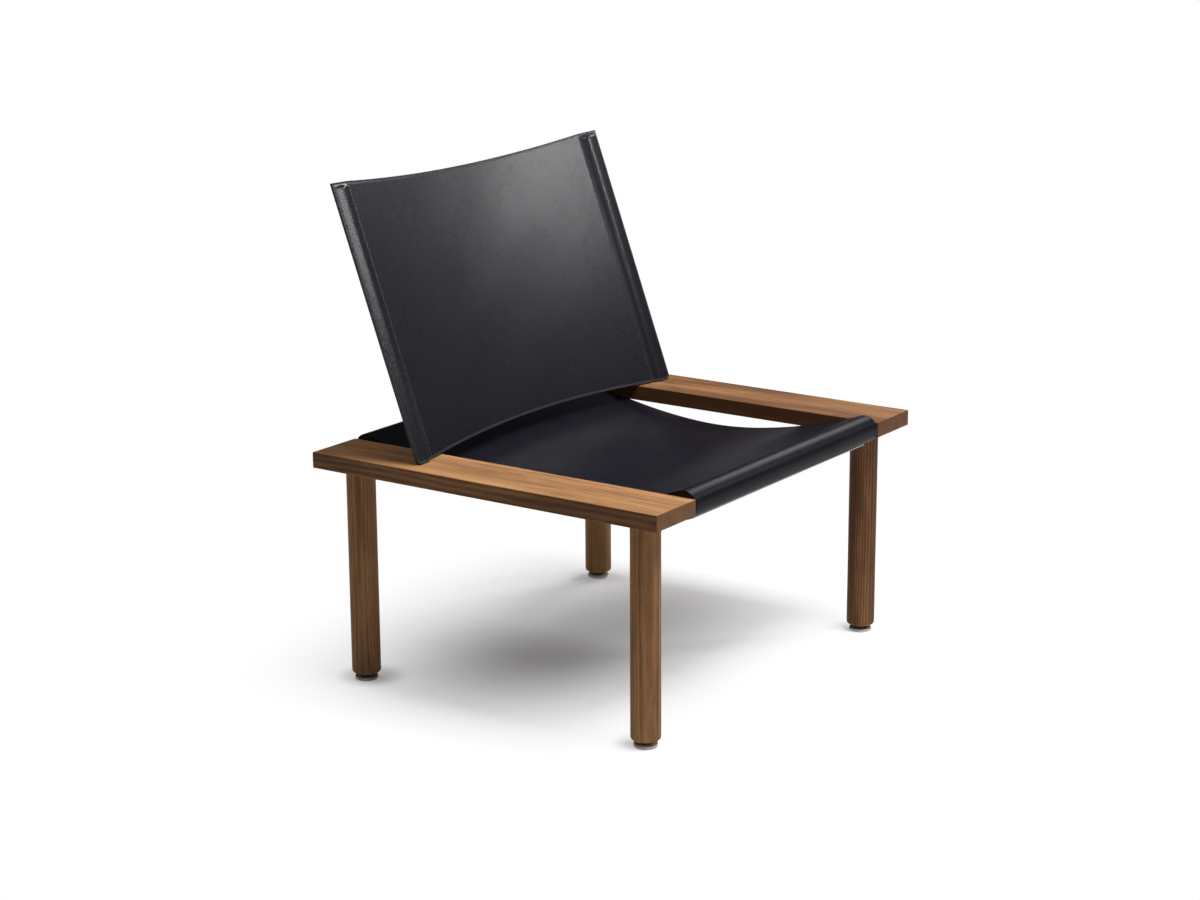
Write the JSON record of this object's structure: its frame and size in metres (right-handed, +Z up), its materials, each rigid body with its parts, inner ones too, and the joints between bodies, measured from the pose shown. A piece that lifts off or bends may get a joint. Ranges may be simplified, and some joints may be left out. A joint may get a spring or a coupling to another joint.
{
  "type": "sling lounge chair",
  "caption": "Low lounge chair with a black leather seat slung between flat wooden arm boards on round legs, and a leaning leather back sewn over steel posts.",
  "frame": {"origin": "on the floor, under the middle of the chair's width and depth", "axes": "+Z up, the chair's front faces -Y, +X to the sitter's left"},
  "size_m": [0.8, 0.684, 0.848],
  "materials": {
    "walnut": "oiled walnut",
    "leather": "black saddle leather, low sheen",
    "steel": "plain zinc-plated steel",
    "pale_plastic": "pale grey plastic",
    "dark_plastic": "dark brown-grey plastic"
  },
  "bodies": {
    "root": {"right_side_board": "walnut", "left_side_board": "walnut", "front_right_leg": "walnut", "front_left_leg": "walnut", "rear_right_leg": "walnut", "rear_left_leg": "walnut", "front_crossbar": "walnut", "rear_crossbar": "walnut", "seat_sling": "leather", "back_front_leather": "leather", "back_rear_leather": "leather", "right_back_post": "steel", "left_back_post": "steel", "front_clamp_strip": "steel", "rear_clamp_strip": "steel", "front_right_glide_disc": "pale_plastic", "front_left_glide_disc": "pale_plastic", "rear_right_glide_disc": "pale_plastic", "rear_left_glide_disc": "pale_plastic", "front_right_glide_collar": "dark_plastic", "front_left_glide_collar": "dark_plastic", "rear_right_glide_collar": "dark_plastic", "rear_left_glide_collar": "dark_plastic", "front_right_glide_screw": "steel", "front_left_glide_screw": "steel", "rear_right_glide_screw": "steel", "rear_left_glide_screw": "steel", "front_right_leg_stud": "steel", "front_left_leg_stud": "steel", "rear_right_leg_stud": "steel", "rear_left_leg_stud": "steel", "front_right_leg_insert": "steel", "front_left_leg_insert": "steel", "rear_right_leg_insert": "steel", "rear_left_leg_insert": "steel", "front_right_tenon_screw": "steel", "front_left_tenon_screw": "steel", "rear_right_tenon_screw": "steel", "rear_left_tenon_screw": "steel", "front_strip_screw_1": "steel", "front_strip_screw_2": "steel", "front_strip_screw_3": "steel", "front_strip_screw_4": "steel", "rear_strip_screw_1": "steel", "rear_strip_screw_2": "steel", "rear_strip_screw_3": "steel", "rear_strip_screw_4": "steel", "right_post_plate_screw_1": "steel", "right_post_plate_screw_2": "steel", "right_post_plate_screw_3": "steel", "right_post_plate_screw_4": "steel", "left_post_plate_screw_1": "steel", "left_post_plate_screw_2": "steel", "left_post_plate_screw_3": "steel", "left_post_plate_screw_4": "steel"}
  },
  "joints": []
}
